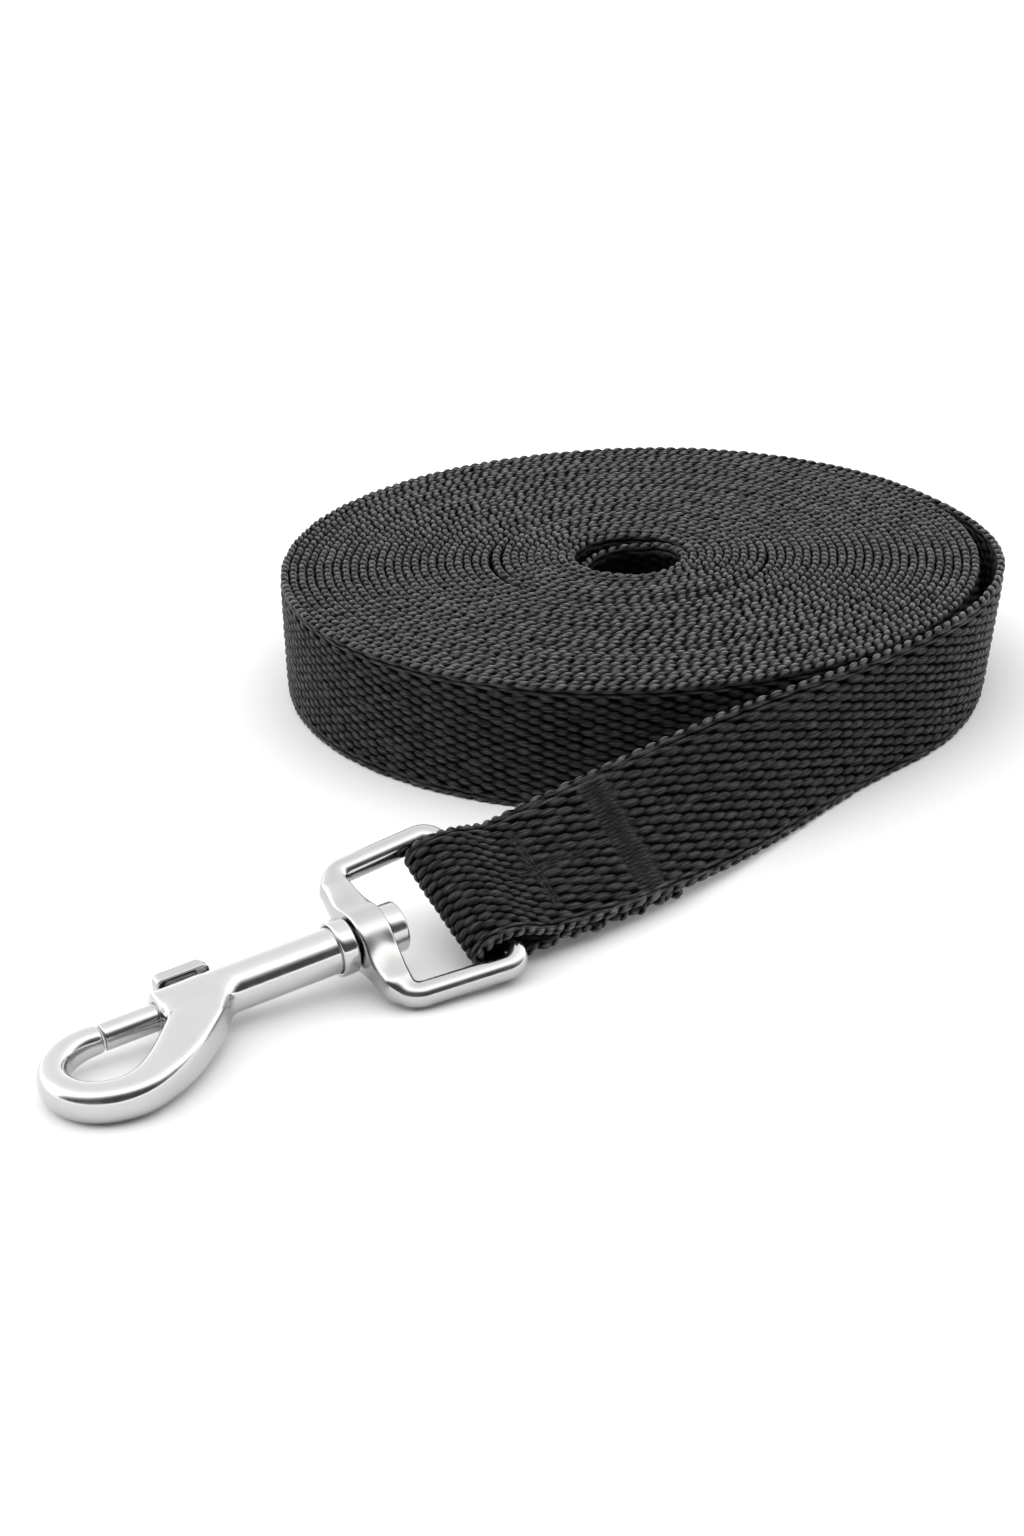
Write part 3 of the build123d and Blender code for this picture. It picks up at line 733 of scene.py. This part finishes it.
free_parts = free_end()
coil_stations, wound_degrees = coil_line()
line = measured(free_parts + [coil_stations])
free_counts = np.cumsum([len(p[0]) for p in free_parts])
S_FOLD = float(line[0][free_counts[0]])            # the fold starts
S_BAR = float(line[0][free_counts[1]]) + FOLD_FORWARD   # the upper layer passes the rear bar
S_JOIN = S_BAR + JOIN_AT
S_COIL = float(line[0][free_counts[3]])
S_END = float(line[0][-1])
coil_s = line[0][free_counts[3]:]


def s_at_turn(turns):
    """Distance along the webbing after this many turns inwards."""
    return float(np.interp(turns * 360, wound_degrees, coil_s))


def from_bar(s):
    """Distance behind the rear bar for either layer of the sewn end."""
    return np.where(s < S_FOLD, TAIL_AT - s, s - S_BAR)


def sewn_press(s, a, n):
    """Where thread pulls the weave flat and down: (flatness, depth)."""
    d = from_bar(s)
    band = smooth((BARTACK_LENGTH / 2 + PRESS_EASE - np.abs(d - BARTACK_AT)) / PRESS_EASE)
    band = band * smooth((BARTACK_HALF + PRESS_EASE - np.abs(a)) / PRESS_EASE)
    across_line = bump(d, CROSS_AT, 1.5) * smooth((CROSS_HALF + 1 - np.abs(a)) / 1.5)
    along_line = bump(a, 0, 1.5) * smooth((d - 7) / 1.5) * smooth((CROSS_BACK + 1 - d) / 1.5)
    sunk_line = np.maximum(across_line, along_line)
    near_cut = smooth(1 - s / 1.6)
    flat = np.maximum(np.maximum(BAND_PRESS[0] * band, LINE_PRESS[0] * sunk_line), CUT_PRESS[0] * near_cut)
    flat = np.clip(flat, 0, 1)
    sunk = BAND_PRESS[1] * band + LINE_PRESS[1] * sunk_line + CUT_PRESS[1] * near_cut
    return flat, np.where(np.abs(n) > 0.3 * CORE_HALF_THICK, sunk, 0.3 * sunk)


def end_width(s):
    """The webbing is drawn a little narrower where it bends round the rear bar."""
    return blend(END_NARROWED, 1.0, smooth(np.abs(from_bar(s)) / JOIN_AT))


def tail_edge(s, a):
    """The cut tail puckers along its near edge, and its cut end is not quite square."""
    tail = smooth((S_FOLD - s) / 8)
    pucker = 0.55 * np.sin(s * 1.35 + 0.6) + 0.35 * np.sin(s * 0.7)
    return -tail * smooth((-a - 6) / 5) * (0.45 + pucker * 0.6)


fine_around = around_points(0.20, 0.20, faces=("front",), far_step=0.40)
face_out = around_points(0.20, 0.22, faces=("front",))
handle_around = around_points(0.6, 0.34, faces=("back",))
edges_only = np.concatenate([
    [0.0, LOWER_EDGE - 1.6], LOWER_EDGE + np.array([-0.7, 0.0, 0.7]), [LOWER_EDGE + 1.6, PERIMETER / 2],
    UPPER_EDGE + np.array([-2.3, -1.5, -1.0, -0.6, -0.2, 0.2, 0.6, 1.0, 1.5, 2.3])])

eye_loop = strap("webbing_end_fold", line, 0, S_JOIN, 0.35, fine_around, sewn_press, end_width, tail_edge)
finish_piece(eye_loop, "webbing", "webbing", "webbing_eye_loop")

lead = strap("webbing_lead_run", line, S_JOIN, S_COIL, 0.42, fine_around, sewn_press)
finish_piece(lead, "webbing", "webbing", "webbing_lead")

HANDLE_TURNS = (COIL_RADIUS - HANDLE_RADIUS) / TURN_PITCH
for kind, turn_ends, step, around in (("outer_turn", [0.0, 0.5, 1.0], 0.44, face_out),
                                      ("turns", [1.0, 7.0, 14.0, 21.5, HANDLE_TURNS], 0.45, edges_only)):
    for group, (first, last) in enumerate(zip(turn_ends[:-1], turn_ends[1:])):
        begin, end = s_at_turn(first), s_at_turn(last)
        turns = strap(f"webbing_{kind}_{group + 1}", line, begin, end, step, around)
        finish_piece(turns, "webbing", "webbing", "webbing_coil")

S_HANDLE = s_at_turn(HANDLE_TURNS)
# the handle's faces, inside the coil's hole, get painted shade
handle = strap("webbing_handle", line, S_HANDLE, S_END, 0.5, handle_around, face_painted_light=HANDLE_PAINTED_LIGHT)
finish_piece(handle, "webbing", "webbing", "handle_loop")


# -------- sewing thread
def on_layer(distance, across_at, side, lift):
    """Points on the sewn end: side 1 is the upper face, -1 the underside."""
    distance = np.asarray(distance, float)
    middle, across, outward = spine(distance)
    offset = side * (layer_offset(distance) + WEB_THICK / 2 + lift)
    return middle + across * np.asarray(across_at)[:, None] + outward * offset


def thread_piece(name, runs, body, *nodes):
    """Several lines of thread as one piece."""
    points, faces, where, painted_light_and_tone = [], [], [], []
    first = 0
    for line_points in runs:
        count = len(line_points)
        ring = tube(line_points, THREAD_RADIUS, THREAD_SIDES)
        faces += tube_faces(count, THREAD_SIDES, first)
        first += len(ring)
        points.append(ring)
        along = np.repeat(np.arange(count) * 0.4, THREAD_SIDES)
        where.append(np.stack([along, np.tile(np.arange(THREAD_SIDES) * 0.2, count), 0 * along], -1))
        # the thread's own tone wanders at random along it
        painted_light_and_tone.append(np.repeat(0.65 + 0.3 * wander(np.arange(count) * 0.9, len(painted_light_and_tone)), THREAD_SIDES))
    piece = new_mesh(name, np.concatenate(points), faces, thread_look)
    store(piece, np.concatenate(where), np.concatenate(painted_light_and_tone))
    return finish_piece(piece, body, "thread", *nodes)


def zigzag(half, spacing):
    """Across and along places of a dense zigzag: each pass runs the band's length."""
    across_at, along_at = [], []
    for i, a in enumerate(np.arange(-half, half, spacing)):
        way = -1 if i % 2 == 0 else 1
        jitter = rng.uniform(-0.4, 0.4, 2)
        start, end = way * BARTACK_LENGTH / 2 + jitter[0], -way * BARTACK_LENGTH / 2 + jitter[1]
        for t in np.linspace(0, 1, 7):
            across_at.append(a + spacing * 0.8 * t)
            along_at.append(blend(start, end, t))
    return np.array(across_at), np.array(along_at)


def bartack_runs():
    """Two layers of zigzag on both faces, sinking at the band's ends."""
    runs = []
    for side in (1, -1):
        for layer in range(2):
            across_at, along_at = zigzag(BARTACK_HALF, 0.40 - 0.04 * layer)
            lift = -0.16 + 0.10 * layer - 0.18 * (np.abs(along_at) / (BARTACK_LENGTH / 2)) ** 4
            runs.append(on_layer(BARTACK_AT + along_at, across_at, side, lift[:, None]))
    return runs


def stitch_run(start, end, side):
    """A row of lock stitches between two (distance, across) points, each a short arched thread."""
    start, end = np.array(start, float), np.array(end, float)
    count = int(np.linalg.norm(end - start) / STITCH_LENGTH)
    runs = []
    for i in range(count):
        t = (i + np.linspace(0.06, 0.94, 9)) / count
        spot = start + (end - start) * t[:, None]
        arch = np.sin(math.pi * np.linspace(0, 1, 9)) ** 0.5
        runs.append(on_layer(spot[:, 0], spot[:, 1], side, (-0.40 + 0.26 * arch)[:, None]))
    return runs


def cross_runs():
    """Twin lines across the end and one along it, on both faces."""
    runs = []
    for side in (1, -1):
        for at in (CROSS_AT - CROSS_TWIN, CROSS_AT + CROSS_TWIN):
            runs += stitch_run((at, -CROSS_HALF), (at, CROSS_HALF), side)
        runs += stitch_run((CROSS_FRONT, 0.0), (CROSS_BACK, 0.0), side)
    return runs


def handle_thread_runs():
    """The stitching that closes the handle, on the outside of the wound handle."""
    runs = []
    z = np.linspace(3.0, WEB_WIDTH - 3.0, 40)
    radius = HANDLE_RADIUS + 0.12
    for turn in np.radians(np.arange(-9, 9.5, 1.6)):
        upright = np.stack([radius * np.cos(turn + 0 * z), radius * np.sin(turn + 0 * z), z], -1)
        runs.append(COIL + upright)
    return runs


thread_piece("bartack_thread", bartack_runs(), "webbing", "snap_bartack")
thread_piece("cross_stitch_thread", cross_runs(), "webbing", "snap_box_stitch")
thread_piece("handle_thread", handle_thread_runs(), "webbing", "handle_bartack")


# -------- the eye
def eye_field(p):
    """A loop of round bar whose front is a band with a hub, bored for the stud."""
    x, y, z = p.T
    rear, front = -EYE_LENGTH, 0.0
    share = (x - rear) / (front - rear)
    spread = blend(EYE_REAR_HALF, EYE_FRONT_HALF, np.clip(share, -0.2, 1.2))
    lean = math.atan2(EYE_REAR_HALF - EYE_FRONT_HALF, EYE_LENGTH)
    beside = (np.abs(y) - spread) * math.cos(lean) + EYE_CORNER
    endways = np.abs(x - (rear + front) / 2) - EYE_LENGTH / 2 + EYE_CORNER
    corner = np.hypot(np.maximum(beside, 0), np.maximum(endways, 0))
    outline = corner + np.minimum(np.maximum(beside, endways), 0) - EYE_CORNER
    loop = np.hypot(outline, z) - EYE_BAR
    hub_round = np.hypot(y, z) - HUB_RADIUS
    shoulder = box_field(y, z, EYE_FRONT_HALF - 2.2, 1.95, 1.2)
    half = BAND_HALF - 0.85 * smooth((np.abs(y) - 5.0) / 6.5)
    band = prism(joined(hub_round, shoulder, 3.6), x + 0.15, half, 0.45)
    whole = joined(loop, band, 2.2)
    return cut(whole, np.hypot(y, z) - STUD_BORE, 0.2)


eye = skin("swivel_eye_cast", eye_field, (-23.6, -18.4, -5.8), (4.2, 18.4, 5.8), CAST_STEP, EYE, eye_look)
finish_piece(eye, "eye", "plated_metal", "swivel_eye")


# -------- the snap's body
def hook_route(count=150):
    """Middle line of the hook in its plane: tip, bend, arm; with its direction."""
    tip = np.stack([np.linspace(TIP_START, BEND_CENTRE[0], 10), np.zeros(10)], -1)[:-1]
    turn = np.linspace(0, BEND_SWEEP, 90) - math.pi / 2
    bend = BEND_CENTRE + BEND_RADIUS * np.stack([np.cos(turn), np.sin(turn)], -1)
    start = bend[-1]
    reach = math.dist(start, ARM_END)
    t = np.linspace(0, 1, 60)[1:, None]
    d0 = reach * np.array([math.cos(BEND_SWEEP), math.sin(BEND_SWEEP)])
    d1 = reach * 0.9 * np.array([math.cos(ARM_END_HEADING), math.sin(ARM_END_HEADING)])
    arm = ((2 * t**3 - 3 * t**2 + 1) * start + (t**3 - 2 * t**2 + t) * d0
           + (3 * t**2 - 2 * t**3) * ARM_END + (t**3 - t**2) * d1)
    route = np.concatenate([tip, bend, arm])
    s = np.concatenate([[0], np.cumsum(np.linalg.norm(np.diff(route, axis=0), axis=1))])
    at = np.linspace(0, s[-1], count)
    route = np.stack([np.interp(at, s, route[:, i]) for i in range(2)], -1)
    return route, unit(np.gradient(route, axis=0)), at / s[-1]


ROUTE, ROUTE_WAY, ROUTE_SHARE = hook_route()
TIP_SAMPLES = 12            # points of the route next to each end that its cap reaches
# along the hook from tip to arm: half its width in its plane, half its depth, and how square it is
SHARES = np.array([0.00, 0.06, 0.18, 0.32, 0.48, 0.60, 0.74, 0.88, 1.00])
HALF_WIDTH = np.array([2.15, 2.2, 2.4, 2.7, 2.95, 3.3, 3.9, 4.3, 3.6])
HALF_DEPTH = np.array([2.15, 2.4, 2.85, 3.05, 3.1, 3.1, 3.15, 3.3, 3.3])
SQUARENESS = np.array([2.3, 2.3, 2.2, 2.15, 2.3, 2.9, 4.2, 4.6, 2.6])


def hook_solid(p):
    """Tip, bend and arm: a section that changes along the route, capped at both ends."""
    gap = ((p[:, None, :2] - ROUTE[None]) ** 2).sum(-1)
    nearest = gap.argmin(1)
    spacing = np.linalg.norm(ROUTE[1] - ROUTE[0])
    off = p[:, :2] - ROUTE[nearest]
    way = ROUTE_WAY[nearest]
    ahead = np.clip((off * way).sum(-1), -spacing, spacing)
    share = np.clip(ROUTE_SHARE[nearest] + ahead / spacing / (len(ROUTE) - 1), 0, 1)
    way = unit(np.stack([np.interp(share, ROUTE_SHARE, ROUTE_WAY[:, i]) for i in range(2)], -1))
    spot = np.stack([np.interp(share, ROUTE_SHARE, ROUTE[:, i]) for i in range(2)], -1)
    off = p[:, :2] - spot
    beside = off[:, 0] * way[:, 1] - off[:, 1] * way[:, 0]
    wide = np.interp(share, SHARES, HALF_WIDTH)
    deep = np.interp(share, SHARES, HALF_DEPTH)
    power = np.interp(share, SHARES, SQUARENESS)
    ratio = (np.abs(beside / wide) ** power + np.abs(p[:, 2] / deep) ** power) ** (1 / power)
    before_tip = np.where(nearest < TIP_SAMPLES, TIP_START - p[:, 0], -9.0)
    beyond = ((p[:, :2] - ROUTE[-1]) * ROUTE_WAY[-1]).sum(-1)
    past_end = np.where(nearest > len(ROUTE) - TIP_SAMPLES, beyond, -9.0)
    solid = -joined(-(ratio - 1) * np.minimum(wide, deep), -before_tip, 0.6)
    return -joined(-solid, -past_end, 1.2)


def hook_field(p, batch=20000):
    """hook_solid in batches, to keep memory small."""
    value = np.empty(len(p))
    for start in range(0, len(p), batch):
        value[start:start + batch] = hook_solid(p[start:start + batch])
    return value


def body_field(p):
    """Barrel and hook in one casting, bored for the bolt and slotted for the thumb piece."""
    x, y, z = p.T
    middle = (BARREL_START + BARREL_END) / 2
    barrel = prism(np.hypot(y, z) - BARREL_RADIUS, x - middle, (BARREL_END - BARREL_START) / 2, 0.9)
    hook = hook_field(p)
    whole = joined(barrel, hook, 1.5)
    bore = np.maximum(np.hypot(y, z) - BORE_RADIUS, x - (TIP_START - 0.1))
    whole = cut(whole, bore, 0.25)
    slot = np.maximum(box_field(x - (SLOT[0] + SLOT[1]) / 2, z, (SLOT[1] - SLOT[0]) / 2, SLOT[2], 1.0), y)
    return cut(whole, slot, 0.15)


body = skin("snap_body_cast", body_field, (2.6, -5.0, -4.8), (60.6, 20.6, 4.8), CAST_STEP, HOOK, plate_look)
finish_piece(body, "snap", "plated_metal", "snap_body")


# -------- turned pieces of the snap
def turned(name, outline, ease, look, body_name, node):
    """A piece turned on the snap's axis, from (along, radius) points, its corners eased."""
    piece = lathe(name, soften(outline, ease), HOOK, look)
    return finish_piece(piece, body_name, "plated_metal", node)


CENTRE = 0.02               # an outline stops just short of the axis
turned("collar_ring", [(3.3, 2.3), (3.0, 2.6), (3.0, 4.65), (6.0, 4.65), (6.0, 3.9), (3.7, 3.9), (3.6, 2.3)],
       0.75, plate_look, "snap", "barrel_collar")
turned("stud_rivet", [(-6.0, CENTRE), (-6.0, 4.2), (-2.8, 4.2), (-2.8, 2.1), (3.62, 2.1), (3.62, 2.98),
                      (FLANGE_END, 2.98), (FLANGE_END, 1.1), (7.6, 1.1), (7.6, CENTRE)],
       0.55, plate_look, "snap", "swivel_stud")
turned("bolt_rod", [(BOLT_START, CENTRE), (BOLT_START, BOLT_RADIUS), (BOLT_END, BOLT_RADIUS), (BOLT_END, CENTRE)],
       0.35, bolt_look, "bolt", "bolt")


def thumb_field(p):
    """A flat rounded bar with one sloped end, on its stem."""
    x, y, z = p.T
    start, end, under, top, half = THUMB
    bar = prism(box_field(x - (start + end) / 2, z, (end - start) / 2, half, 1.3), y - (under + top) / 2,
                (under - top) / 2, 0.35)
    facet = (start + 0.9 - x) * 0.75 + (top + 0.5 - y) * 0.66
    bar = -joined(-bar, -facet, 0.3)
    stem = prism(box_field(x - (start + end) / 2, z, *STEM_HALF, 1.0), y + 3.7, 2.0, 0.1)
    return joined(bar, stem, 0.4)


thumb = skin("thumb_piece", thumb_field, (24.2, -8.4, -3.4), (35.2, -1.2, 3.4), THUMB_STEP, HOOK, eye_look)
finish_piece(thumb, "bolt", "plated_metal", "thumb_stud")


def wound_spring(name, start, end, sides=8):
    """A compression spring on the snap's axis, its end turns closed."""
    turn = np.linspace(0, SPRING_TURNS, SPRING_TURNS * 20 + 1)
    x = np.interp(turn, [0, 1, SPRING_TURNS - 1, SPRING_TURNS], [start, start + SPRING_WIRE, end - SPRING_WIRE, end])
    angle = 2 * math.pi * turn
    line_points = np.stack([x, SPRING_RADIUS * np.cos(angle), SPRING_RADIUS * np.sin(angle)], -1)
    wire_points = tube(line_points, SPRING_WIRE / 2, sides)
    return new_mesh(name, HOOK.out(wire_points), tube_faces(len(line_points), sides), spring_look)


spring = wound_spring("spring_coil", FLANGE_END + SPRING_CLEAR, BOLT_START - SPRING_CLEAR)
finish_piece(spring, "snap", "spring_steel", "bolt_spring")
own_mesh(spring)


# -------- floor, light, camera
SKY_RISES = (-0.10, 0.66, 0.745)    # the direction in which the tent gets brighter
SKY_STOPS = ((0.0, 0.02), (0.49, 0.04), (0.57, 0.24), (0.645, 0.80),
             (0.71, 1.0), (0.80, 0.85), (0.92, 0.63), (1.0, 0.57))
SKY_STRENGTH = 2.32
HORIZON_SHADE = 0.9                 # the floor's paleness goes on just above the horizon
HORIZON_FADES = (0.07, 0.12)
FLOOR_HALF = 9000.0
CAMERA_LENS = 60.0
CAMERA_FROM_COIL = np.array([-25.4, -488.0, 200.5])
CAMERA_DOWN = math.radians(24.5)
CAMERA_ROLL = math.radians(-2.15)


def floor():
    corners = [(-FLOOR_HALF, -FLOOR_HALF, 0), (FLOOR_HALF, -FLOOR_HALF, 0),
               (FLOOR_HALF, FLOOR_HALF, 0), (-FLOOR_HALF, FLOOR_HALF, 0)]
    look, shader = new_material("pale_floor")[:2]
    shader.inputs["Base Color"].default_value = (0.9, 0.9, 0.9, 1)
    shader.inputs["Roughness"].default_value = 0.9
    shader.inputs["Specular IOR Level"].default_value = 0.1
    plane = new_mesh("floor", np.array(corners), [[0, 1, 2, 3]], look, False)


def soft_box(name, position, target, size, power):
    """A rectangular lamp at a place in metres, turned to its target."""
    light = bpy.data.lights.new(name, "AREA")
    light.shape = "RECTANGLE"
    light.size, light.size_y = size
    light.energy = power
    lamp = bpy.data.objects.new(name, light)
    bpy.context.collection.objects.link(lamp)
    back = unit(np.array(position) - np.array(target))
    side = unit(np.cross([0, 0, 1.0], back))
    up = np.cross(back, side)
    turn = Matrix(np.column_stack([side, up, back]).tolist()).to_4x4()
    lamp.matrix_world = Matrix.Translation(position) @ turn


def studio_sky():
    """A bright tent that goes dark low down behind the camera, which is what the metal mirrors."""
    world = bpy.data.worlds.new("studio")
    bpy.context.scene.world = world
    world.use_nodes = True
    world.node_tree.nodes.clear()
    make = node_maker(world.node_tree.nodes, world.node_tree.links)
    where = make("ShaderNodeTexCoord").outputs["Generated"]
    facing = make("ShaderNodeVectorMath", {0: where, 1: SKY_RISES}, operation="DOT_PRODUCT")
    level = make("ShaderNodeMapRange", {"Value": facing.outputs["Value"], "From Min": -1.0})
    ramp = make("ShaderNodeValToRGB", {0: level.outputs[0]})
    ramp.color_ramp.interpolation = "EASE"
    ramp.color_ramp.elements.remove(ramp.color_ramp.elements[0])
    for i, (at, shade) in enumerate(SKY_STOPS):
        stop = ramp.color_ramp.elements[0] if i == 0 else ramp.color_ramp.elements.new(at)
        stop.position = at
        stop.color = (shade, shade, shade, 1)
    parts = make("ShaderNodeSeparateXYZ", {0: where})
    low_down = make("ShaderNodeMapRange", {"Value": parts.outputs["Z"], "From Min": HORIZON_FADES[0],
                                           "From Max": HORIZON_FADES[1], "To Min": 1.0, "To Max": 0.0})
    tent = make("ShaderNodeMix", {"Factor": low_down.outputs[0], 6: ramp.outputs[0],
                                  7: (HORIZON_SHADE, HORIZON_SHADE, HORIZON_SHADE, 1)}, data_type="RGBA")
    sky = make("ShaderNodeBackground", {"Color": tent.outputs[2], "Strength": SKY_STRENGTH})
    make("ShaderNodeOutputWorld", {"Surface": sky.outputs[0]})


def camera():
    lens = bpy.data.cameras.new("camera")
    lens.lens = CAMERA_LENS
    lens.sensor_width = 36.0
    lens.clip_start = 0.01
    lens.clip_end = 20.0
    view = bpy.data.objects.new("camera", lens)
    bpy.context.collection.objects.link(view)
    position = (COIL + CAMERA_FROM_COIL) * MM
    turn = Matrix.Rotation(math.radians(90) - CAMERA_DOWN, 4, "X") @ Matrix.Rotation(CAMERA_ROLL, 4, "Z")
    view.matrix_world = Matrix.Translation(position) @ turn
    bpy.context.scene.camera = view


floor()
studio_sky()
soft_box("side", (-0.95, -0.05, 0.40), (0, 0, 0), (0.6, 0.6), 1.6)
camera()
bpy.context.scene.view_settings.view_transform = "Standard"
